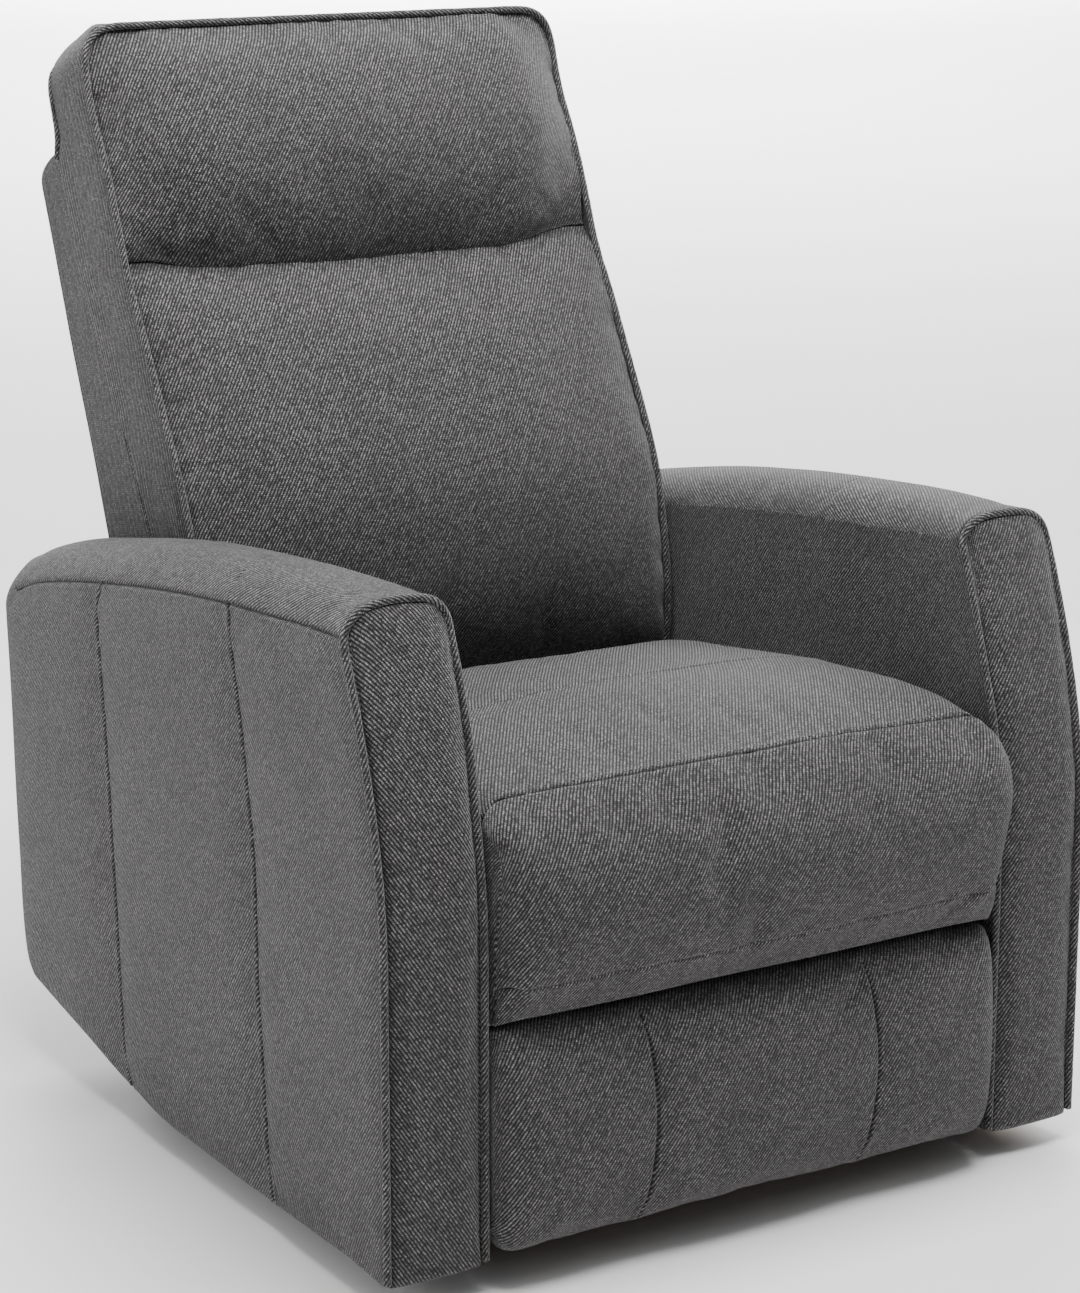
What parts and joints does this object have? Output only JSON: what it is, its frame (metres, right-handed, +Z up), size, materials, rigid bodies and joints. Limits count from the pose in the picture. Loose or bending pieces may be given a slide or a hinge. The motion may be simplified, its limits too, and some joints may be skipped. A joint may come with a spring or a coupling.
{
  "type": "push-back recliner armchair",
  "caption": "Slim upholstered recliner armchair with a boxed back, raked arms, a push-back seat on swing links and a fold-out footrest.",
  "frame": {"origin": "centre of the chair's bounding box, at floor height", "axes": "+Z up, -Y out of the front of the chair, +X to the right seen from the front"},
  "size_m": [0.76, 0.948, 1.0629],
  "materials": {
    "charcoal_fabric": "coarse heathered charcoal twill",
    "frame_wood": "bare sanded softwood and plywood",
    "mechanism_steel": "black painted stamped steel",
    "spring_steel": "drawn spring wire",
    "glide_plastic": "black moulded glide"
  },
  "bodies": {
    "base": {"left_arm_cover": "charcoal_fabric", "right_arm_cover": "charcoal_fabric", "left_arm_front_panel": "charcoal_fabric", "right_arm_front_panel": "charcoal_fabric", "left_arm_frame": "frame_wood", "right_arm_frame": "frame_wood", "left_arm_base_rail": "frame_wood", "right_arm_base_rail": "frame_wood", "front_left_foot": "glide_plastic", "front_right_foot": "glide_plastic", "rear_left_foot": "glide_plastic", "rear_right_foot": "glide_plastic", "front_base_rail": "frame_wood", "rear_base_rail": "frame_wood", "rear_base_panel": "charcoal_fabric", "left_base_plate": "mechanism_steel", "right_base_plate": "mechanism_steel"},
    "front_swing": {"front_left_swing_link": "mechanism_steel", "front_right_swing_link": "mechanism_steel"},
    "rear_swing": {"rear_left_swing_link": "mechanism_steel", "rear_right_swing_link": "mechanism_steel"},
    "seat_carriage": {"left_seat_plate": "mechanism_steel", "right_seat_plate": "mechanism_steel", "seat_front_rail": "frame_wood", "seat_rear_rail": "frame_wood", "seat_left_rail": "frame_wood", "seat_right_rail": "frame_wood", "carriage_cross_tube": "mechanism_steel", "seat_spring_1": "spring_steel", "seat_spring_2": "spring_steel", "seat_spring_3": "spring_steel", "seat_spring_4": "spring_steel", "seat_cushion": "charcoal_fabric"},
    "back": {"back_left_post": "frame_wood", "back_right_post": "frame_wood", "left_back_bracket": "mechanism_steel", "right_back_bracket": "mechanism_steel", "back_lower_rail": "frame_wood", "back_middle_rail": "frame_wood", "back_upper_rail": "frame_wood", "back_spring_1": "spring_steel", "back_spring_2": "spring_steel", "back_spring_3": "spring_steel", "back_outer_cover": "charcoal_fabric", "back_lumbar_cushion": "charcoal_fabric", "headrest_cushion": "charcoal_fabric"},
    "lift_links": {"left_lift_link": "mechanism_steel", "right_lift_link": "mechanism_steel"},
    "guide_links": {"left_guide_link": "mechanism_steel", "right_guide_link": "mechanism_steel"},
    "carrier_links": {"left_carrier_link": "mechanism_steel", "right_carrier_link": "mechanism_steel"},
    "tilt_links": {"left_tilt_link": "mechanism_steel", "right_tilt_link": "mechanism_steel"},
    "footrest": {"left_footrest_bracket": "mechanism_steel", "right_footrest_bracket": "mechanism_steel", "footrest_board": "frame_wood", "footrest_pad": "charcoal_fabric"}
  },
  "joints": [
    {"name": "push_back", "type": "hinge", "parent": "base", "child": "front_swing", "pos_m": [0, -0.117, 0.15], "axis": [1, 0, 0], "range_deg": [0, 40]},
    {"name": "seat_on_front_swing", "type": "hinge", "parent": "front_swing", "child": "seat_carriage", "pos_m": [0, -0.0828, 0.24397], "axis": [1, 0, 0], "range_deg": [-40, 0]},
    {"name": "rear_swing_pivot", "type": "hinge", "parent": "base", "child": "rear_swing", "pos_m": [0, 0.063, 0.15], "axis": [1, 0, 0], "range_deg": [0, 40]},
    {"name": "back_recline", "type": "hinge", "parent": "seat_carriage", "child": "back", "pos_m": [0, 0.163, 0.3], "axis": [-1, 0, 0], "range_deg": [0, 32]},
    {"name": "footrest_open", "type": "hinge", "parent": "seat_carriage", "child": "lift_links", "pos_m": [0, -0.377, 0.205], "axis": [-1, 0, 0], "range_deg": [0, 136]},
    {"name": "guide_link_pivot", "type": "hinge", "parent": "seat_carriage", "child": "guide_links", "pos_m": [0, -0.3387, 0.1729], "axis": [-1, 0, 0], "range_deg": [0, 136]},
    {"name": "carrier_pivot", "type": "hinge", "parent": "lift_links", "child": "carrier_links", "pos_m": [0, -0.30752, 0.07432], "axis": [-1, 0, 0], "range_deg": [-136, 0]},
    {"name": "tilt_link_pivot", "type": "hinge", "parent": "lift_links", "child": "tilt_links", "pos_m": [0, -0.2991, 0.0607], "axis": [-1, 0, 0], "range_deg": [-148, 0]},
    {"name": "footrest_tilt", "type": "hinge", "parent": "carrier_links", "child": "footrest", "pos_m": [0, -0.371, 0.145], "axis": [-1, 0, 0], "range_deg": [0, 86]}
  ],
  "couplings": [
    {"joint": "seat_on_front_swing", "follows": "push_back", "ratio": -1},
    {"joint": "rear_swing_pivot", "follows": "push_back", "ratio": 1},
    {"joint": "back_recline", "follows": "push_back", "ratio": 0.8},
    {"joint": "guide_link_pivot", "follows": "footrest_open", "ratio": 1},
    {"joint": "carrier_pivot", "follows": "footrest_open", "ratio": -1},
    {"joint": "tilt_link_pivot", "follows": "footrest_open", "ratio": -1.088},
    {"joint": "footrest_tilt", "follows": "footrest_open", "ratio": 0.632}
  ]
}
